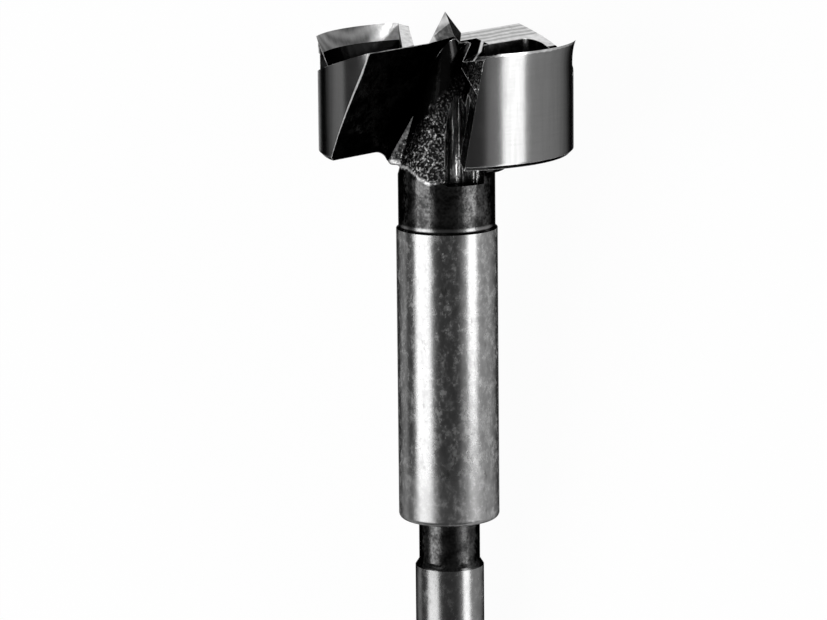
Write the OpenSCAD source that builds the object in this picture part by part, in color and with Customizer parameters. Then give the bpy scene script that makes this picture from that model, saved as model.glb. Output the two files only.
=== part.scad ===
// Forstner bit: a flat-bottomed boring bit with two lips, two rim spurs and a centre point.
// It is one piece of tool steel. It lies as it comes to rest on a bench, on the edges of one gullet and
// on the end of its shank, with the head towards +Y and the other gullet facing up.
// The bit is shaped along its own axis first, from the shank's end at z = 0, and laid down at the end.

/* [Shank] */
// Diameter of the shank that a chuck grips
shank_d = 8; // [6:0.5:10]
// Length of the shank at its full diameter
shank_l = 25.2; // [20:0.5:34]
// Bevel around the end of the shank
shank_bevel = 0.5; // [0.2:0.1:1]
// Depth of the groove between shank and body
groove_depth = 0.45; // [0.2:0.05:0.8]
// Length of the groove
groove_l = 5.7; // [3:0.1:8]
// Length of the groove's sloping lower side
groove_run = 0.7; // [0.3:0.1:1.5]

/* [Body] */
// Diameter of the ground body
body_d = 11.7; // [11:0.1:14]
// Length of the ground body
body_l = 34.45; // [25:0.1:45]
// Radius of the body's lower edge
body_round = 0.6; // [0.2:0.1:1]
// Step from the body in to the neck
neck_step = 0.25; // [0.1:0.05:0.4]
// Length of the neck between body and hub
neck_l = 6.65; // [4:0.1:12]

/* [Head] */
// Diameter that the bit cuts, at the edge of the rim
head_d = 30; // [28:0.5:36]
// Height of the head, from its underside to the edge of the rim
head_h = 13.05; // [12:0.05:15]
// Amount that the wall stands in from the edge of the rim
wall_relief = 0.4; // [0.2:0.05:0.6]
// Height over which the wall draws in to its own diameter
wall_relief_h = 3.2; // [2:0.1:5]
// Bevel around the bottom of the wall
wall_bevel = 0.45; // [0.2:0.05:0.8]
// Width of the hub's ledge beyond the neck
hub_ledge = 1.6; // [1:0.1:2]
// Height of the hub under the head
hub_h = 1.9; // [1.8:0.1:3.5]
// Radius of the hub's edge and of the fillet below it
hub_round = 0.6; // [0.3:0.1:0.7]
// Radius of the fillet between the hub and the underside of the head
hub_fillet = 1; // [0.6:0.1:1.1]

/* [Lips and gullets] */
// Distance that each lip stands ahead of the axis
lip_lead = 1.3; // [1:0.1:1.6]
// Slope of the rake face behind the lip
rake_angle = 29; // [24:1:32]
// Slope of the ground relief behind the lip
relief_angle = 16.5; // [12:0.5:18]
// Width of the relief between lip and pocket
lip_land = 3.6; // [3:0.1:4.5]
// Direction that the heel wall across the gullet faces away to, from the lip
heel_dir = 133.9; // [128:0.1:140]
// Distance of the heel wall from the axis at the rim
heel_off = 3.45; // [3:0.05:4]
// Slope of the heel wall into the gullet
heel_lean = 10.5; // [6:0.5:14]
// Amount that the raw cheek at the top of one heel wall stands out into its gullet
cheek_t = 1.5; // [1:0.1:1.8]
// Distance from the outer wall to the cheek's middle
cheek_l = 8.6; // [7.5:0.1:9]
// Height of the cheek at the outer wall
cheek_h = 4.7; // [4:0.1:5.5]
// Slope of the cheek's underside
cheek_slope = 11; // [9:0.5:13]
// Direction of the middle of the gullet, from the lip
gullet_dir = 20; // [14:1:26]
// Distance that the gullet runs back past the axis at the rim
gullet_back = 2.8; // [2:0.1:3]
// Slope of the gullet's back
gullet_lean = 36; // [33:1:40]
// Diameter of the flute milled along the foot of the heel wall
flute_d = 4.8; // [4:0.1:5.4]
// Direction of the flute, from the lip
flute_dir = 64.7; // [60:0.5:70]
// Distance of the flute's middle from the axis
flute_off = 5.4; // [5:0.1:6]
// Depth of the flute's upper end under the rim
flute_depth = 6.1; // [5.6:0.1:7]

/* [Spurs and pockets] */
// Angle from a lip back to the tip of the spur behind it
spur_angle = 59.5; // [52:0.5:66]
// Slope of the ground inside of the spur
spur_bevel = 21.5; // [18:0.5:26]
// Radius of the pocket's outer wall
pocket_r = 13.2; // [12.6:0.1:13.4]
// Radius of the pocket's outer corner
pocket_round = 1.6; // [1:0.1:2]
// Depth of the pocket under the rim
pocket_depth = 4.5; // [3.5:0.1:5.5]
// Thickness of the rib between pocket and gullet
rib_t = 1.1; // [0.8:0.1:1.6]
// Drop of the heel wall's outer corner under the rim
heel_drop = 0.55; // [0.3:0.05:0.9]
// Slope of the top of the heel wall with the cheek, down towards the axis
cheek_fall = 5; // [3:0.5:8]
// Slope of the top of the other heel wall, which is ground lower
heel_fall = 12; // [10:0.5:16]
// Slope of the heel wall's top, down across the rib to the gullet
heel_tilt = 20; // [14:1:26]

/* [Centre point] */
// Height of the point above the rim
point_rise = 3.05; // [2:0.05:4]
// Distance from the axis to where the lip rises into the point
point_reach = 4.4; // [3.5:0.1:5]
// Half width of the point across the lips, at its foot
point_half_w = 2.32; // [2:0.02:2.6]
// Direction of the point's front ridge, from the lip
point_ridge_dir = 82; // [75:1:90]
// Depth of the point's foot under the rim
point_foot = 1; // [0.8:0.1:1.4]

/* [Hidden] */
$fn = 96;

// Heights along the axis
body_z = shank_l + groove_l;
neck_z = body_z + body_l;
hub_z = neck_z + neck_l;
under_z = hub_z + hub_h;
rim_z = under_z + head_h;
tip_z = rim_z + point_rise;

// Radii
shank_r = shank_d / 2;
groove_r = shank_r - groove_depth;
body_r = body_d / 2;
neck_r = body_r - neck_step;
hub_r = neck_r + hub_ledge;
head_r = head_d / 2;
wall_r = head_r - wall_relief;

// The core left between the gullets is a cone, from the lips down to just below the hub, where the
// gullets run out on the neck
core_run = 0.7;
core_tail = 0.6;
core_slope = (neck_r - lip_lead) / (head_h + hub_h + core_run);
core_h = head_h + hub_h + core_run + core_tail;

// Length of the heel wall from the axis to its outer corner, and of the part that the cheek covers
heel_l = sqrt(pow(wall_r, 2) - pow(heel_off, 2));
cheek_run = 2 * cheek_l;

// Reach of a cutting space, well past the head, and a margin by which cuts overrun
reach = head_d;
overrun = 1;

// Corners that touch the bench: the lip's outer corner, and the foot of the heel wall
lip_corner_dir = asin(lip_lead / head_r);
heel_foot_z = under_z + wall_bevel;
heel_foot_off = heel_off - tan(heel_lean) * (rim_z - heel_foot_z);
heel_foot_dir = heel_dir - acos(heel_foot_off / wall_r);

// The lie of the bit: the direction that faces down, and the rise of the axis towards the head
lip_run = rim_z - shank_bevel;
heel_run = heel_foot_z - shank_bevel;
down_cos = head_r * heel_run * cos(lip_corner_dir) - wall_r * lip_run * cos(heel_foot_dir);
down_sin = head_r * heel_run * sin(lip_corner_dir) - wall_r * lip_run * sin(heel_foot_dir);
down_rest = shank_r * (heel_run - lip_run) / norm([down_cos, down_sin]);
down_dir = atan2(down_sin, down_cos) + acos(down_rest);
rise = atan((head_r * cos(lip_corner_dir - down_dir) - shank_r) / lip_run);

// Ends of the lying bit along Y, and the height that puts its lowest corners on the bench
tip_y = tip_z * cos(rise);
end_y = -(shank_r - shank_bevel) * sin(rise);
lie_z = shank_r * cos(rise) - shank_bevel * sin(rise);

// Everything on the +Y side of the XZ plane, as far as the cuts reach
module front_half() {
    translate([-reach, 0, -reach])
        cube([2 * reach, reach, 2 * reach]);
}

// Section of a fillet that fills the corner under a ledge
module ledge_fillet(r) {
    difference() {
        translate([0, -r])
            square(r);
        translate([r, -r])
            circle(r);
    }
}

// Half section of the turned blank, before any cutter touches the head
module blank_section() {
    polygon([
        [0, 0],
        [shank_r - shank_bevel, 0],
        [shank_r, shank_bevel],
        [shank_r, shank_l],
        [groove_r, shank_l + groove_run],
        [groove_r, body_z],
        [body_r - body_round, body_z],
        [body_r, body_z + body_round],
        [body_r, neck_z - neck_step],
        [neck_r, neck_z],
        [neck_r, hub_z],
        [hub_r - hub_round, hub_z],
        [hub_r, hub_z + hub_round],
        [hub_r, under_z],
        [wall_r - wall_bevel, under_z],
        [wall_r, under_z + wall_bevel],
        [wall_r, rim_z - wall_relief_h],
        [head_r, rim_z],
        [0, rim_z],
    ]);
    translate([body_r - body_round, body_z + body_round])
        circle(body_round);
    translate([hub_r - hub_round, hub_z + hub_round])
        circle(hub_round);
    translate([neck_r, hub_z])
        ledge_fillet(hub_round);
    translate([hub_r, under_z])
        ledge_fillet(hub_fillet);
}

// Shank, groove, body, neck, hub and head as turned
module turned_blank() {
    rotate_extrude()
        blank_section();
}

// Ring of the rim that stays as a spur, from the spur's tip back
module spur_ring() {
    foot_h = pocket_depth + overrun;
    cone_foot = foot_h + overrun;
    cone_top = overrun + overrun;
    intersection() {
        translate([0, 0, rim_z])
            difference() {
                translate([0, 0, -foot_h])
                    cylinder(r = head_r + overrun, h = foot_h + overrun);
                translate([0, 0, -cone_foot])
                    cylinder(
                        r1 = head_r - tan(spur_bevel) * cone_foot,
                        r2 = head_r + tan(spur_bevel) * cone_top,
                        h = cone_foot + cone_top
                    );
            }
        translate([0, 0, rim_z])
            rotate([0, 0, -180 - spur_angle])
                front_half();
    }
}

// Back end of the rib, beside the heel wall, as high as the wheel that grinds the relief leaves it
module rib_end() {
    rotate([0, 0, heel_dir + 90])
        translate([0, 0, rim_z - reach])
            cube([reach, heel_off + rib_t, 2 * reach]);
}

// Space under the sloping top of the heel wall, which bevels the back corner of the spur
module heel_top(fall) {
    translate([0, 0, rim_z - heel_drop])
        rotate([0, 0, heel_dir + 90])
            translate([heel_l, heel_off, 0])
                rotate([heel_tilt, -fall, 0])
                    translate([-reach, -reach, -reach])
                        cube([2 * reach, 2 * reach, reach]);
}

// Ground relief that falls away behind the lip along +X, and leaves the spur and the heel wall standing
module relief_cut(fall) {
    difference() {
        intersection() {
            translate([0, lip_lead, rim_z])
                rotate([relief_angle, 0, 0])
                    translate([-reach, -reach, 0])
                        cube([2 * reach, reach, reach]);
            translate([0, 0, rim_z - reach])
                linear_extrude(2 * reach)
                    polygon([
                        [0, lip_lead],
                        [reach, lip_lead],
                        [reach, -reach],
                        [-reach, -reach],
                        [-reach, -lip_lead],
                        [0, -lip_lead],
                    ]);
        }
        intersection() {
            union() {
                spur_ring();
                rib_end();
            }
            heel_top(fall);
        }
    }
}

// Milled pocket between the relief, the spur and the rib, which steps out by the given amount into a cheek
module pocket(step) {
    edge_y = lip_lead - lip_land;
    corner_y = edge_y - pocket_round;
    corner_x = sqrt(pow(pocket_r - pocket_round, 2) - pow(corner_y, 2));
    rib_off = heel_off + rib_t;
    rib_x = (rib_off + edge_y * sin(heel_dir)) / -cos(heel_dir);
    along = [-sin(heel_dir), cos(heel_dir)];
    across = [-cos(heel_dir), -sin(heel_dir)];
    translate([0, 0, rim_z - pocket_depth])
        linear_extrude(pocket_depth + overrun) {
            intersection() {
                circle(pocket_r);
                polygon([
                    [rib_x, edge_y],
                    [corner_x, edge_y],
                    [corner_x, corner_y],
                    2 * [corner_x, corner_y],
                    [reach, -reach],
                    heel_l * along + rib_off * across,
                    (heel_l - cheek_l) * along + (rib_off - step) * across,
                ]);
            }
            translate([corner_x, corner_y])
                circle(pocket_round);
        }
}

// Puts a shape on the heel wall that faces the lip along +X, from its outer corner at the rim: x runs
// along the wall towards the axis, and y out into the gullet
module on_heel_wall() {
    translate([0, 0, rim_z])
        rotate([0, 0, heel_dir + 90])
            translate([-heel_l, -heel_off, 0])
                rotate([heel_lean, 0, 0])
                    children();
}

// Raw cheek that stays on a heel wall above the milled part of the gullet
module heel_cheek() {
    turn = atan(cheek_t / cheek_l);
    on_heel_wall()
        intersection() {
            rotate([0, 0, 180 + turn])
                front_half();
            translate([cheek_run, 0, 0])
                rotate([0, 0, 180 - turn])
                    front_half();
            translate([0, 0, -cheek_h])
                rotate([90, -cheek_slope, 0])
                    front_half();
        }
}

// Chip gullet ahead of the lip along +X, between its rake face and the heel wall of the other wing
module gullet() {
    difference() {
        intersection() {
            translate([0, 0, rim_z - core_h])
                cylinder(r = reach, h = core_h + reach);
            translate([0, lip_lead, rim_z])
                rotate([-rake_angle, 0, 0])
                    front_half();
            on_heel_wall()
                front_half();
            rotate([0, 0, gullet_dir - 90])
                translate([0, 0, rim_z]) {
                    front_half();
                    translate([0, -gullet_back, 0])
                        rotate([gullet_lean, 0, 0])
                            front_half();
                }
        }
        translate([0, 0, rim_z - core_h - overrun])
            cylinder(
                r1 = lip_lead + core_slope * (core_h + overrun),
                r2 = lip_lead,
                h = core_h + overrun
            );
    }
}

// The gullet beside the heel wall that keeps its cheek
module cheek_gullet() {
    difference() {
        gullet();
        heel_cheek();
    }
}

// Flute along the foot of the heel wall, down to the end of the gullet
module flute() {
    rotate([0, 0, flute_dir])
        translate([flute_off, 0, rim_z - core_h])
            cylinder(d = flute_d, h = core_h - flute_depth);
}

// Four-sided centre point, with a ridge to each lip and one across them on each side
module centre_point() {
    foot = (point_rise + point_foot) / point_rise;
    lip_ridge = foot * [point_reach, lip_lead];
    side_ridge = point_half_w * [cos(point_ridge_dir), sin(point_ridge_dir)];
    foot_z = rim_z - point_foot;
    polyhedron(
        points = [
            [lip_ridge.x, lip_ridge.y, foot_z],
            [side_ridge.x, side_ridge.y, foot_z],
            [-lip_ridge.x, -lip_ridge.y, foot_z],
            [-side_ridge.x, -side_ridge.y, foot_z],
            [0, 0, tip_z],
        ],
        faces = [[0, 1, 2, 3], [1, 0, 4], [2, 1, 4], [3, 2, 4], [0, 3, 4]]
    );
}

// Turns a cut from the wing with its lip along +X to the other wing
module other_wing() {
    rotate([0, 0, 180])
        children();
}

// The turned blank with its pockets milled and its reliefs ground
module ground_blank() {
    difference() {
        difference() {
            turned_blank();
            pocket(cheek_t);
            other_wing()
                pocket(0);
        }
        relief_cut(cheek_fall);
        other_wing()
            relief_cut(heel_fall);
    }
}

// What is left of a piece of the head once both gullets are cut
module with_gullets() {
    difference() {
        children();
        gullet();
        other_wing()
            cheek_gullet();
    }
}

// What is left of a piece of the head once both flutes are milled
module with_flutes() {
    difference() {
        children();
        flute();
        other_wing()
            flute();
    }
}

// The whole bit along its own axis
module upright_bit() {
    with_flutes()
        with_gullets()
            ground_blank();
    with_gullets()
        centre_point();
}

// The bit laid on the bench
module forstner_bit() {
    color("dimgray")
        translate([0, -(tip_y + end_y) / 2, lie_z])
            rotate([rise - 90, 0, 0])
                rotate([0, 0, 90 - down_dir])
                    upright_bit();
}

forstner_bit();
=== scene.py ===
import math
import time

import bmesh
import bpy
from mathutils import Matrix, Vector, kdtree, noise


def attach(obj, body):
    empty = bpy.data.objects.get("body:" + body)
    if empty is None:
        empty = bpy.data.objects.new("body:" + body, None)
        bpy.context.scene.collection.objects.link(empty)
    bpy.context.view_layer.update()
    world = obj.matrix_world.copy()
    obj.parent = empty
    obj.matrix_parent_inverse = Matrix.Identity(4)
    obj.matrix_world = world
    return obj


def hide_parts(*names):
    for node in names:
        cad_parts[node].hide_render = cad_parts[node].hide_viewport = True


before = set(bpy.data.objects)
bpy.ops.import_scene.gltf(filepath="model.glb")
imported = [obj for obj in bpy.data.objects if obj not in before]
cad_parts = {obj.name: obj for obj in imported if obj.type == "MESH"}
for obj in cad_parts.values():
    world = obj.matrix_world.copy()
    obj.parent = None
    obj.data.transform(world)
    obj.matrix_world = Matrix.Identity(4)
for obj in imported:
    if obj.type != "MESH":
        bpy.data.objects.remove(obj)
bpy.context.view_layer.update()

clock = time.time()


def tell(words):
    print(f"[bit] {words} ({time.time() - clock:.1f} s)")


# how the bit lies: its own axis is z from the shank's end, in millimetres
lie = {"rise": 6.89105, "downDir": 20.5652, "endY": -44.46493, "endZ": 3.91111}
toBench = (
    Matrix.Translation((0, lie["endY"], lie["endZ"]))
    @ Matrix.Rotation(math.radians(lie["rise"] - 90), 4, "X")
    @ Matrix.Rotation(math.radians(90 - lie["downDir"]), 4, "Z")
)
toBench = Matrix.Scale(0.001, 4) @ toBench
toBit = toBench.inverted()
bitAxis = (toBench.to_3x3() @ Vector((0, 0, 1))).normalized()

# heights and radii of the turned blank, as in the solid
blank = {
    "shankTop": 25.2,
    "bodyFoot": 30.9,
    "bodyTop": 65.1,
    "neckTop": 71.3,
    "wallFoot": 74.35,
    "wallR": 14.6,
    "rimR": 15.0,
    "flareFoot": 83.75,
    "rim": 86.95,
}
# planes and cuts of the head, for the wing with its lip along +x
head = {
    "lipLead": 1.3,
    "lipLand": 3.1,
    "landCore": 1.75,
    "landFrom": 5.0,
    "rake": 29.0,
    "relief": 16.5,
    "spurBevel": 21.5,
    "heelDir": 133.9,
    "wallTurn": 2.4,
    "fluteDir": 64.7,
    "fluteOff": 5.4,
    "fluteR": 2.4,
}
# across and deep are a gullet's own directions: across its mouth, and in from its mouth to the core
acrossDir = Vector((0.649, -0.760))
deepDir = Vector((0.760, 0.649))


class Wire:
    # a socket that takes part in plain arithmetic, and the one place where nodes are made
    def __init__(self, tree, socket=None):
        self.tree, self.socket = tree, socket

    def node(self, kind, settings=None, inputs=None, output=0):
        made = self.tree.nodes.new("ShaderNode" + kind)
        for key, value in (settings or {}).items():
            setattr(made, key, value)
        for key, value in (inputs or {}).items():
            if isinstance(value, Wire):
                self.tree.links.new(value.socket, made.inputs[key])
            else:
                made.inputs[key].default_value = value
        return Wire(self.tree, made.outputs[output] if made.outputs else None)

    def math(self, operation, first, second=0.0):
        return self.node("Math", {"operation": operation}, {0: first, 1: second})

    def __add__(self, other):
        return self.math("ADD", self, other)

    def __radd__(self, other):
        return self.math("ADD", other, self)

    def __sub__(self, other):
        return self.math("SUBTRACT", self, other)

    def __rsub__(self, other):
        return self.math("SUBTRACT", other, self)

    def __mul__(self, other):
        return self.math("MULTIPLY", self, other)

    def __rmul__(self, other):
        return self.math("MULTIPLY", other, self)

    def __pow__(self, other):
        return self.math("POWER", self, other)

    def capped(self):
        return self.node("Clamp", None, {0: self})

    def between(self, low, high):
        # 0 below low, 1 above high, smooth between
        return self.node(
            "MapRange", {"interpolation_type": "SMOOTHSTEP"}, {0: self, 1: low, 2: high, 3: 0.0, 4: 1.0}
        )

    def blendTo(self, other, share):
        # self and other are colours
        return self.node("Mix", {"data_type": "RGBA"}, {0: share, 6: self, 7: other}, 2)


def grey(shade, tint=(1.0, 1.0, 1.0)):
    return (shade * tint[0], shade * tint[1], shade * tint[2], 1.0)


def newFinish(name):
    finish = bpy.data.materials.new(name)
    finish.use_nodes = True
    finish.node_tree.nodes.clear()
    return finish, Wire(finish.node_tree)


def close(start, shader):
    start.node("OutputMaterial", None, {"Surface": shader})


def bitPlace(start, scale):
    # place on the bit in its own frame, in millimetres times scale, so that marks follow the bit's axis
    place = start.node("TexCoord", None, None, "Object")
    turned = start.node(
        "Mapping",
        {"vector_type": "POINT"},
        {"Vector": place, "Location": toBit.to_translation(), "Rotation": toBit.to_euler(), "Scale": toBit.to_scale()},
    )
    return start.node("VectorMath", {"operation": "MULTIPLY"}, {0: turned, 1: scale})


def speckle(start, place, scale, detail=3.0, rough=0.5):
    return start.node(
        "TexNoise", {"noise_dimensions": "3D"}, {"Vector": place, "Scale": scale, "Detail": detail, "Roughness": rough}
    )


def split(start, place):
    # x, y and z of a place
    parts = start.node("SeparateXYZ", None, {0: place})
    return [Wire(start.tree, parts.socket.node.outputs[k]) for k in range(3)]


def length(x, y):
    return (x * x + y * y) ** 0.5


def edgeLine(start, z, radius):
    # 1 on a convex edge of the head, 0 a radius (in millimetres) away from it
    rounded = start.node("Bevel", {"samples": 6}, {"Radius": radius * 0.001})
    flat = start.node("NewGeometry", None, None, "Normal")
    turned = 1 - start.node("VectorMath", {"operation": "DOT_PRODUCT"}, {0: rounded, 1: flat}, 1)
    near = start.node("Attribute", {"attribute_name": "edgeWear"}, None, 2)
    return turned.between(0.004, 0.06) * near.between(0.1, 0.4) * z.between(72.6, 73.2)


# bright ground steel of body, shank and head wall
groundSteel = {
    "shade": 0.14, "lightShade": 0.3, "roughness": 0.17, "edgeTint": 0.12, "stain": 0.03, "speck": 0.45, "edge": 0.06,
}


def makeGroundSteel():
    finish, start = newFinish("groundSteel")
    even = bitPlace(start, (1, 1, 1))
    z = split(start, even)[2]
    lines = speckle(start, bitPlace(start, (0.3, 0.3, 9)), 1.0, 4.0, 0.6)
    streaks = speckle(start, bitPlace(start, (1.6, 1.6, 0.1)), 1.0, 3.0, 0.6)
    clouds = speckle(start, bitPlace(start, (1, 1, 0.6)), 0.5, 5.0, 0.65)
    mottle = speckle(start, bitPlace(start, (1, 1, 0.7)), 1.1, 5.0, 0.66)
    specks = speckle(start, even, 3.1, 2.0, 0.5).between(0.68, 0.76) * clouds.between(0.45, 0.6)
    stains = speckle(start, bitPlace(start, (1.2, 1.2, 0.6)), 0.8, 4.0, 0.62).between(0.58, 0.74)
    grit = speckle(start, even, 3.0, 4.0, 0.7).between(0.46, 0.68)
    turnedOnly = 1 - z.between(blank["neckTop"], blank["neckTop"] + 1)
    # the foot of the body is duller than the rest
    foot = (z.between(blank["bodyFoot"], blank["bodyFoot"] + 0.1) - z.between(33, 41)).capped()
    tone = ((mottle * 1.1 + clouds * 0.7 - 0.5) * turnedOnly + lines * 0.2 + streaks * 0.3 - 0.15).capped()
    shade = start.node("Mix", {"data_type": "RGBA"}, {
        0: tone, 6: grey(groundSteel["shade"]), 7: grey(groundSteel["lightShade"])
    }, 2)
    shade = shade.blendTo(grey(groundSteel["stain"], (1.0, 0.97, 0.9)), stains * turnedOnly * 0.45)
    shade = shade.blendTo(grey(groundSteel["speck"]), specks * turnedOnly * 0.5)
    # painted highlight: the head's convex edges are painted bright, as thin lines of light along them
    shade = shade.blendTo(grey(0.7), edgeLine(start, z, groundSteel["edge"]) * (clouds * 1.4 - 0.3).capped())
    smear = mottle.between(0.47, 0.68) * clouds.between(0.4, 0.62) * turnedOnly
    smear = smear + grit * mottle.between(0.42, 0.56) * turnedOnly * 0.8
    smear = (smear + foot * 0.15).capped()
    # the shank is darker and cleaner than the body
    onShank = z.between(blank["shankTop"] + 0.3, blank["shankTop"])
    smear = smear * (1 - onShank * 0.7)
    shade = shade.blendTo(grey(0.4), smear * 0.6)
    shade = shade.blendTo(grey(0.06), onShank * 0.35)
    bump = start.node("Bump", None, {
        "Strength": 0.25, "Distance": 0.00002, "Height": lines * 0.6 + mottle * 0.5 + specks * turnedOnly
    })
    dull = (mottle.between(0.5, 0.66) * 0.08 + 0.06) * turnedOnly + clouds.between(0.5, 0.7) * 0.03 + foot * 0.08
    steel = start.node("BsdfPrincipled", None, {
        "Base Color": shade,
        "Metallic": 1 - (specks * turnedOnly * 0.5 + smear * 0.22).capped(),
        "Roughness": groundSteel["roughness"] + dull,
        "Specular Tint": grey(groundSteel["edgeTint"]),
        "Normal": bump,
    })
    close(start, steel)
    return finish


# steel of the lips and point, left by a coarse wheel, and a darker copy of it inside the spurs that is painted shade,
# with a painted highlight towards each spur's back end
lipSteel = {"shade": 0.19, "lightShade": 0.75, "paintedBrightEnd": None, "roughness": 0.24, "pointPaintedShade": 0.06}
spurSteelPaintedLight = {"shade": 0.055, "lightShade": 0.24, "paintedBrightEnd": 0.75, "roughness": 0.3, "pointPaintedShade": 0.06}


def makeLipSteel(name, look):
    finish, start = newFinish(name)
    even = bitPlace(start, (1, 1, 1))
    x, y, z = split(start, even)
    across = x * acrossDir.x + y * acrossDir.y
    deep = x * deepDir.x + y * deepDir.y
    faced = across * (1 - deep.between(-0.01, 0.01) * 2)
    ripple = start.node("TexWave", {"bands_direction": "Y"}, {
        "Vector": bitPlace(start, (0.35, 1, 0)), "Scale": 0.42, "Distortion": 2.4, "Detail": 3.0, "Detail Scale": 1.4
    })
    streaks = speckle(start, bitPlace(start, (2.2, 2.2, 0.25)), 1.0, 3.0, 0.6)
    clouds = speckle(start, even, 1.3, 4.0, 0.6)
    # painted shade: a darker, rougher patch low on the point
    paintedScoopShade = (z - blank["rim"] - 1.5 - faced * 0.62 + clouds * 0.3 - 0.15).between(0.06, -0.06)
    paintedScoopShade = paintedScoopShade * (z - blank["rim"]).between(0.02, 0.08) * (1 - length(x, y).between(3.2, 3.6))
    shade = start.node("Mix", {"data_type": "RGBA"}, {
        0: (clouds * 0.7 + streaks * 0.5 + ripple * 0.6 - 0.4).capped(),
        6: grey(look["shade"]),
        7: grey(look["lightShade"]),
    }, 2)
    if look["paintedBrightEnd"] is not None:
        # painted highlight: each spur is brighter towards its back end
        shade = shade.blendTo(grey(look["paintedBrightEnd"]), faced.between(9.4, 6.2) * (1.6 - clouds * 1.5).capped())
    shade = shade.blendTo(grey(look["pointPaintedShade"]), paintedScoopShade * (1.4 - clouds).capped())
    bump = start.node("Bump", None, {
        "Strength": 0.5, "Distance": 0.00005, "Height": ripple * 0.6 + streaks * 0.3 + clouds * 0.4
    })
    steel = start.node("BsdfPrincipled", None, {
        "Base Color": shade,
        "Metallic": 1.0,
        "Roughness": look["roughness"] + clouds * 0.12 + paintedScoopShade * 0.2,
        "Normal": bump,
    })
    close(start, steel)
    return finish


# black hardening scale of gullets, pockets, neck and groove, and a darker inside copy of it that is painted shade in
# the hollows
blackScale = {
    "shade": 0.015, "lightShade": 0.07, "paintedRecessShadeAndRawDark": 0.015, "bareShade": 0.85, "rawShade": 0.68,
    "roughness": 0.17, "edge": 0.16, "edgeTint": 0.0,
}


def makeBlackScale(name, marks):
    finish, start = newFinish(name)
    even = bitPlace(start, (1, 1, 1))
    x, y, z = split(start, even)
    clouds = speckle(start, even, 0.7, 4.0, 0.6)
    grain = speckle(start, even, 3.4, 2.0, 0.55)
    fine = speckle(start, even, 6.5, 2.0, 0.5)
    raw = start.node("Attribute", {"attribute_name": "rawGrain"}, None, 2)
    bare = start.node("Attribute", {"attribute_name": "bareLine"}, None, 2)
    chips = speckle(start, even, 1.9, 3.0, 0.6)
    wear = edgeLine(start, z, blackScale["edge"]) * (chips * 1.9 - 0.2).capped() + bare * (0.2 + chips)
    if marks == "rake":
        # a narrow ground land runs down the outer edge of the rake face
        edge = blank["wallR"] + (z - blank["flareFoot"]).between(0, 3.2) * 0.4
        wide = 0.02 + (z - blank["wallFoot"]).between(0, 12.6) * 0.34 + chips * 0.14
        wear = wear + (length(x, y) - edge + wide).between(-0.04, 0.04) * (0.45 + grain).capped()
    if marks == "rib":
        # a second bright line runs beside the rib's edge
        across = x * acrossDir.x + y * acrossDir.y - (x * deepDir.x + y * deepDir.y) * 0.095
        off = start.math("ABSOLUTE", across) - 4.0
        wear = wear + off.between(-0.22, -0.1) * off.between(0.22, 0.1)
    wear = wear.capped()
    # grains of the raw skin that were rubbed bright
    rubbedAndGlints = raw * grain.between(0.5, 0.64) * (chips * 1.4 + clouds * 1.2 - 0.75).capped()
    height = fine * 0.2 + raw * (grain * 2.0 + fine * 0.7)
    tone = (clouds * 0.6 + grain * 0.4).between(0.38, 0.64)
    if marks == "flute":
        # the cutter's marks run along the flute
        cuts = speckle(start, bitPlace(start, (3.2, 3.2, 0.14)), 1.0, 3.0, 0.55)
        height = height + cuts * 1.5
        rubbedAndGlints = rubbedAndGlints + cuts.between(0.5, 0.6) * chips.between(0.32, 0.52)
    if marks == "plain":
        # painted glints: a faint bright ring at the foot of the neck, where the lamps catch its edge
        ring = z - blank["bodyTop"]
        rubbedAndGlints = rubbedAndGlints + ring.between(0.25, 0.4) * ring.between(0.8, 0.5) * 0.2
    # painted shade: the inside copy is darker, for the hollows where shade falls; the same dark also lies between the
    # raw grains
    shade = start.node("Mix", {"data_type": "RGBA"}, {
        0: tone,
        6: grey(blackScale["paintedRecessShadeAndRawDark" if marks == "inside" else "shade"]),
        7: grey(blackScale["lightShade"] * (0.3 if marks == "inside" else 1.0)),
    }, 2)
    # darker between the raw grains
    shade = shade.blendTo(grey(blackScale["paintedRecessShadeAndRawDark"]), raw.between(0.0, 0.15))
    shade = shade.blendTo(grey(blackScale["rawShade"]), rubbedAndGlints.capped())
    shade = shade.blendTo(grey(blackScale["bareShade"]), wear)
    bump = start.node("Bump", None, {"Strength": 0.6, "Distance": 0.00008, "Height": height})
    scale = start.node("BsdfPrincipled", None, {
        "Base Color": shade,
        "Metallic": 1 - wear * 0.7,
        "Roughness": blackScale["roughness"] + clouds * 0.1 + raw * 0.25,
        "Specular Tint": grey(blackScale["edgeTint"]),
        "Normal": bump,
    })
    close(start, scale)
    return finish


# the mesh: a copy of the solid, cut finer on the head, with its zones, raw skin and worn edges
cutting = {"headStep": 0.45, "gulletStep": 0.2, "sharpAngle": 33.0, "weld": 0.002, "headFoot": 70.2}
zones = {"ground": 0, "lip": 1, "black": 2, "rake": 3, "flute": 4, "spur": 5, "rib": 6, "inside": 7}
rawSkin = {
    "swell": 0.08, "most": 0.12, "blob": 2.6, "lineFoot": 71.1, "lineRise": 1.3, "lineWide": 0.14,
    "fadeIn": 2.4, "cheekFoot": 80.5, "spurFoot": 85.05,
}


def gulletPlace(point):
    # a point across and into the gullet that it is nearer to
    flat = Vector((point.x, point.y))
    across, deep = flat.dot(acrossDir), flat.dot(deepDir)
    side = -1.0 if 0.35 * across + 0.936 * deep > 0 else 1.0
    return across * side, deep * side


def onFlute(point, normal):
    turn = math.radians(head["fluteDir"])
    for side in (1, -1):
        x = point.x - side * head["fluteOff"] * math.cos(turn)
        y = point.y - side * head["fluteOff"] * math.sin(turn)
        away = Vector((x, y))
        if abs(away.length - head["fluteR"]) < 0.15 and normal.x * away.x + normal.y * away.y < -0.9 * away.length:
            return True
    return False


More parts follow.
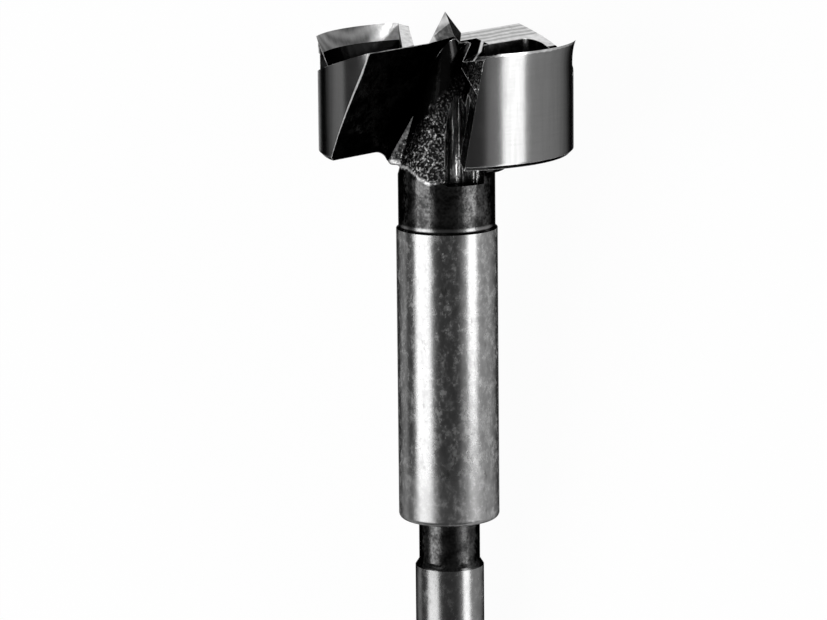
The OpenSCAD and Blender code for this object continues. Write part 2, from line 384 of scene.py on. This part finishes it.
def zoneOf(point, normal):
    radius = math.hypot(point.x, point.y)
    z = point.z
    if z < blank["shankTop"]:
        return "ground"
    if z < blank["bodyFoot"]:
        return "black"
    if z < blank["bodyTop"]:
        return "ground"
    if z < blank["neckTop"] - 0.9:
        return "black"
    outward = (normal.x * point.x + normal.y * point.y) / max(radius, 1e-6)
    if outward > 0.9 and radius > blank["wallR"] - 0.2 and z > blank["wallFoot"] - 0.1:
        return "ground"
    relief, rake = math.radians(head["relief"]), math.radians(head["rake"])
    for side in (1.0, -1.0):
        behind = head["lipLead"] - side * point.y
        if normal.dot(Vector((0, -side * math.sin(relief), math.cos(relief)))) > 0.998:
            if behind < head["landCore"] or (behind < head["lipLand"] and side * point.x > head["landFrom"]):
                return "lip"
        if normal.dot(Vector((0, side * math.cos(rake), -math.sin(rake)))) > 0.998:
            return "rake"
    flat = Vector((normal.x, normal.y))
    deep = Vector((point.x, point.y)).dot(deepDir)
    if outward < -0.85 and abs(normal.z - math.sin(math.radians(head["spurBevel"]))) < 0.06 and radius > 12.4:
        # painted shade: below the spur band the bevel gets the darker inside scale
        return "spur" if z > rawSkin["spurFoot"] else "inside"
    heel = math.radians(head["heelDir"])
    onRib = normal.z > 0.85 or normal.x * math.cos(heel) + normal.y * math.sin(heel) > 0.9
    if onRib and deep > 2 and radius > 6 and z > rawSkin["spurFoot"]:
        return "spur"
    across = abs(Vector((point.x, point.y)).dot(acrossDir))
    if normal.z > 0.8 and z > 83.5 and radius > 2.5 and outward < 0.3 and 1.2 < across < 5.5:
        return "rib"
    if z > blank["rim"] + 0.02 and radius < 5:
        # one of the point's facets gets the black scale, the others the lip steel
        return "black" if flat.dot(acrossDir) > 0.7 else "lip"
    if onFlute(point, normal):
        return "flute"
    # painted shade: the gullet's core near the point gets the darker inside scale
    if z > 79.5 and radius < 5.5 and abs(normal.z) < 0.6:
        return "inside"
    return "black"


def pastMilled(point):
    # distance past the edge of the milled face, towards the raw skin
    across, deep = gulletPlace(point)
    return 0.776 * (across - 0.34) - 0.107 * (deep + 2.63) + 0.622 * (blank["rim"] - point.z - 4.9)


def rawShare(point, normal):
    # how much of the raw skin shows: on the core below the milled face, and on the cheek of the heel wall
    across, deep = gulletPlace(point)
    radius = math.hypot(point.x, point.y)
    heel = Vector((math.cos(math.radians(head["heelDir"])), math.sin(math.radians(head["heelDir"])), 0))
    ragged = noise.noise(point * 1.1) * 0.3
    if abs(normal.dot(heel)) > 0.9 and radius > 4.5 and point.z > rawSkin["cheekFoot"]:
        return 1.0
    if radius > 7.6 or across > 2.3 or point.z < 70.0 or point.z > 83.5:
        return 0.0
    past = pastMilled(point)
    foot = point.z - lineHeight(across) - ragged * 0.6
    return min(1.0, max(0.0, (past + ragged) / 0.3 + 0.5)) * min(1.0, max(0.0, foot / 0.2 + 0.5))


def lineHeight(across):
    # height of the ragged line where the raw skin ends on the neck
    rise = min(1.0, max(0.0, (-across - 2.2) / 2.6))
    return rawSkin["lineFoot"] + rawSkin["lineRise"] * rise * rise * (3 - 2 * rise)


def cutBy(bm, faces, step):
    geometry = list({e for f in faces for e in (*f.verts, *f.edges)}) + list(faces)
    for axis in range(3):
        values = [v.co[axis] for v in geometry if isinstance(v, bmesh.types.BMVert)]
        low, high = min(values), max(values)
        normal = Vector((0, 0, 0))
        normal[axis] = 1
        for k in range(1, int((high - low) / step) + 1):
            place = normal * (low + k * step - step * 0.37)
            done = bmesh.ops.bisect_plane(bm, geom=geometry, dist=1e-5, plane_co=place, plane_no=normal)
            geometry = done["geom"]


def convexEdges(bm):
    sharp = math.cos(math.radians(cutting["sharpAngle"]))
    for e in bm.edges:
        if len(e.link_faces) == 2:
            first, second = e.link_faces
            if first.normal.dot(second.normal) < sharp:
                if first.normal.dot(second.calc_center_median() - first.calc_center_median()) < 0:
                    yield e


def wallNormal(point):
    # shading normal of the head's round wall on the bench, or zero below it
    # it is turned a little about the axis, which moves the highlight and not the wall
    if point.z < blank["wallFoot"] + 0.001:
        return (0, 0, 0)
    out = Matrix.Rotation(math.radians(-head["wallTurn"]), 3, "Z") @ Vector((point.x, point.y, 0))
    return tuple((toBench.to_3x3() @ out).normalized())


def makeBitMesh():
    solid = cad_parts["forstner_bit"].data
    bm = bmesh.new()
    bm.from_mesh(solid)
    bm.transform(toBit)
    bmesh.ops.remove_doubles(bm, verts=bm.verts, dist=cutting["weld"])
    bmesh.ops.dissolve_limit(bm, angle_limit=math.radians(0.05), verts=bm.verts, edges=bm.edges)
    # planes where the finish changes within a face, and above the neck
    planes = [((0, 0, rawSkin["spurFoot"]), (0, 0, 1))]
    for side in (1, -1):
        planes += [((0, side * (head["lipLead"] - head[key]), 0), (0, 1, 0)) for key in ("lipLand", "landCore")]
        planes += [((side * head["landFrom"], 0, 0), (1, 0, 0))]
    for place, normal in planes:
        upper = [f for f in bm.faces if f.calc_center_median().z > 80]
        upper = upper + list({e for f in upper for e in (*f.verts, *f.edges)})
        bmesh.ops.bisect_plane(bm, geom=upper, dist=1e-5, plane_co=place, plane_no=normal)
    for z in (69.6, cutting["headFoot"] - 0.05):
        bmesh.ops.bisect_plane(
            bm, geom=[*bm.verts, *bm.edges, *bm.faces], dist=1e-5, plane_co=(0, 0, z), plane_no=(0, 0, 1)
        )
    bm.normal_update()
    tell(f"solid copied, {len(bm.faces)} faces")
    zoneLayer = bm.faces.layers.int.new("zone")
    for face in bm.faces:
        face[zoneLayer] = zones[zoneOf(face.calc_center_median(), face.normal)]
    samples = []
    for e in convexEdges(bm):
        steps = max(1, int(e.calc_length() / 0.1))
        samples += [e.verts[0].co.lerp(e.verts[1].co, k / steps) for k in range(steps + 1)]
    tree = kdtree.KDTree(len(samples))
    for k, point in enumerate(samples):
        tree.insert(point, k)
    tree.balance()
    fine, coarse = [], []
    heel = math.radians(head["heelDir"])
    for f in bm.faces:
        middle = f.calc_center_median()
        if middle.z > cutting["headFoot"]:
            inGullet = f[zoneLayer] in (zones["black"], zones["inside"], zones["flute"]) and f.normal.z < 0.6
            heelFace = abs(f.normal.x * math.cos(heel) + f.normal.y * math.sin(heel)) > 0.9
            near = math.hypot(middle.x, middle.y) < 7.4 and middle.z < 84
            (fine if inGullet and (near or heelFace) else coarse).append(f)
    cutBy(bm, fine, cutting["gulletStep"])
    tell(f"gullets cut finer, {len(bm.faces)} faces")
    cutBy(bm, [f for f in coarse if f.is_valid], cutting["headStep"])
    tell(f"head cut finer, {len(bm.faces)} faces")
    bmesh.ops.triangulate(bm, faces=bm.faces)
    bm.normal_update()
    wearLayer = bm.verts.layers.float.new("edgeWear")
    rawLayer = bm.verts.layers.float.new("rawGrain")
    bareLayer = bm.verts.layers.float.new("bareLine")
    moved = {}
    for v in bm.verts:
        v[wearLayer] = math.exp(-tree.find(v.co)[2] / 0.35)
        if v.co.z < cutting["headFoot"]:
            continue
        around = {f[zoneLayer] for f in v.link_faces}
        if around <= {zones["black"], zones["inside"]}:
            share = rawShare(v.co, v.normal)
            # the raw skin is darker towards the milled face
            v[rawLayer] = share * (0.3 + 0.7 * min(1.0, max(0.0, pastMilled(v.co) / rawSkin["fadeIn"])))
            across, deep = gulletPlace(v.co)
            if math.hypot(v.co.x, v.co.y) < 7.3 and deep < 3.0 and -6.4 < across < 0.5:
                ragged = noise.noise(v.co * 1.3) * 0.2
                off = v.co.z - lineHeight(across) - ragged
                fade = min(1.0, max(0.0, (-across - 0.6) / 2.0))
                v[bareLayer] = math.exp(-(off / rawSkin["lineWide"]) ** 2) * fade
            if share > 0:
                swell = noise.fractal(v.co * rawSkin["blob"], 1.0, 2.0, 3) + 0.6 * noise.cell(v.co * 2.3) - 0.3
                moved[v] = v.normal * min(rawSkin["most"], swell * rawSkin["swell"] * share)
    for v, step in moved.items():
        if v[wearLayer] < 0.6:
            v.co += step
    # the wall is made truly round, and curves out to the rim
    flare = blank["rimR"] - blank["wallR"]
    for v in bm.verts:
        up = max(0.0, (v.co.z - blank["flareFoot"]) / (blank["rim"] - blank["flareFoot"]))
        radius = math.hypot(v.co.x, v.co.y)
        if v.co.z > blank["wallFoot"] - 0.01 and up < 1 and abs(radius - blank["wallR"] - flare * up) < 0.02:
            wanted = (blank["wallR"] + flare * up ** 3) / radius
            v.co.x *= wanted
            v.co.y *= wanted
    bm.normal_update()
    sharp = math.cos(math.radians(cutting["sharpAngle"]))
    for e in bm.edges:
        if len(e.link_faces) == 2:
            rawEdge = all(v[rawLayer] > 0.2 for v in e.verts)
            limit = math.cos(math.radians(60)) if rawEdge else sharp
            e.smooth = e.link_faces[0].normal.dot(e.link_faces[1].normal) > limit
    for face in bm.faces:
        face.smooth = True
        face.material_index = face[zoneLayer]
    mesh = bpy.data.meshes.new("forstnerBit")
    bm.to_mesh(mesh)
    bm.free()
    facing = []
    for p in mesh.polygons:
        onWall = p.material_index == zones["ground"]
        facing += [wallNormal(mesh.vertices[k].co) if onWall else (0, 0, 0) for k in p.vertices]
    mesh.transform(toBench)
    mesh.normals_split_custom_set(facing)
    return mesh


mesh = makeBitMesh()
finishes = [makeGroundSteel(), makeLipSteel("lipSteel", lipSteel), makeBlackScale("blackScale", "plain")]
finishes += [makeBlackScale("rakeScale", "rake"), makeBlackScale("fluteScale", "flute")]
finishes += [makeLipSteel("spurSteelPaintedLight", spurSteelPaintedLight), makeBlackScale("ribScale", "rib")]
finishes += [makeBlackScale("paintedShadeScale", "inside")]
for finish in finishes:
    mesh.materials.append(finish)
bit = bpy.data.objects.new("forstnerBit", mesh)
bpy.context.scene.collection.objects.link(bit)
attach(bit, "root")
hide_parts("forstner_bit")
tell(f"bit made, {len(mesh.polygons)} triangles")


# the camera looks at the upper gullet, turned a little to its right, from above the head
camera = {
    "turn": 20.0, "lift": 11.3, "roll": 0.58, "distance": 0.5, "along": 0.05535, "aside": -0.003935,
    "focusPx": 4333.0, "imageWide": 827, "sensor": 36.0,
}


def benchDirection(turn, lift):
    # direction at turn degrees from straight up towards +x, and lift degrees towards the head
    across = Vector((1, 0, 0))
    up = across.cross(bitAxis)
    turn, lift = math.radians(turn), math.radians(lift)
    return math.cos(lift) * (math.sin(turn) * across + math.cos(turn) * up) + math.sin(lift) * bitAxis


def onAxis(distance):
    return toBench @ Vector((0, 0, distance * 1000))


def placeCamera():
    data = bpy.data.cameras.new("photoCamera")
    data.sensor_width = camera["sensor"]
    data.lens = camera["focusPx"] * camera["sensor"] / camera["imageWide"]
    data.clip_start, data.clip_end = 0.01, 20
    back = benchDirection(camera["turn"], camera["lift"])
    up = (bitAxis - back * bitAxis.dot(back)).normalized()
    right = up.cross(back)
    roll = math.radians(camera["roll"])
    right, up = math.cos(roll) * right - math.sin(roll) * up, math.cos(roll) * up + math.sin(roll) * right
    place = onAxis(camera["along"]) + camera["aside"] * right + camera["distance"] * back
    spin = Matrix((right, up, back)).transposed().to_4x4()
    made = bpy.data.objects.new("photoCamera", data)
    made.matrix_world = Matrix.Translation(place) @ spin
    bpy.context.scene.collection.objects.link(made)
    bpy.context.scene.camera = made


placeCamera()

# soft boxes beside the bit, each with a weak one that softens its edge, one in front, a dim room and a white floor
studio = {
    "left": {"turn": -38.5, "lift": -6, "distance": 0.5, "wide": 0.35, "long": 0.36, "radiance": 5.0},
    "leftFade": {"turn": -15, "lift": -10, "distance": 0.52, "wide": 0.07, "long": 0.34, "radiance": 0.4},
    "right": {"turn": 77.5, "lift": 8, "distance": 0.5, "wide": 0.205, "long": 0.46, "radiance": 6.5},
    "rightFade": {"turn": 58, "lift": -10, "distance": 0.52, "wide": 0.13, "long": 0.34, "radiance": 0.6},
    "front": {"turn": -37, "lift": 54, "distance": 0.5, "wide": 0.26, "long": 0.22, "radiance": 2.15},
    "room": 0.12,
    "floorShade": 0.92,
    "floorLift": 0.96,
    "floorGlow": 1.0,
    "floorHalf": 6.0,
    "aim": 0.06,
}


def softBox(name, rig):
    data = bpy.data.lights.new(name, "AREA")
    data.shape = "RECTANGLE"
    data.size, data.size_y = rig["wide"], rig["long"]
    data.energy = rig["radiance"] * math.pi * rig["wide"] * rig["long"]
    away = benchDirection(rig["turn"], rig["lift"])
    along = (bitAxis - away * bitAxis.dot(away)).normalized()
    made = bpy.data.objects.new(name, data)
    made.matrix_world = (
        Matrix.Translation(onAxis(studio["aim"]) + rig["distance"] * away)
        @ Matrix((along.cross(away), along, away)).transposed().to_4x4()
    )
    bpy.context.scene.collection.objects.link(made)


def makeStudio():
    for name in ("left", "leftFade", "right", "rightFade", "front"):
        softBox(name + "SoftBox", studio[name])
    world = bpy.data.worlds.new("dimRoom")
    world.use_nodes = True
    world.node_tree.nodes.clear()
    room = Wire(world.node_tree)
    dim = room.node("Background", None, {"Color": grey(1.0), "Strength": studio["room"]})
    room.node("OutputWorld", None, {"Surface": dim})
    bpy.context.scene.world = world
    finish, start = newFinish("paleFloor")
    rays = ("Is Camera Ray", "Is Glossy Ray", "Is Transmission Ray")
    path = [start.node("LightPath", None, None, name) for name in rays]
    seen = (path[0] + path[1] + path[2]).capped()
    matt = start.node("BsdfDiffuse", None, {"Color": grey(studio["floorShade"])})
    glow = start.node("Emission", None, {"Color": grey(1.0), "Strength": studio["floorGlow"]})
    close(start, start.node("MixShader", None, {0: seen * studio["floorLift"], 1: matt, 2: glow}))
    floorMesh = bpy.data.meshes.new("floor")
    half = studio["floorHalf"]
    floorMesh.from_pydata([(-half, -half, 0), (half, -half, 0), (half, half, 0), (-half, half, 0)], [], [(0, 1, 2, 3)])
    floorMesh.materials.append(finish)
    floor = bpy.data.objects.new("floor", floorMesh)
    bpy.context.scene.collection.objects.link(floor)


makeStudio()
bpy.context.scene.view_settings.view_transform = "Standard"
tell("studio ready")
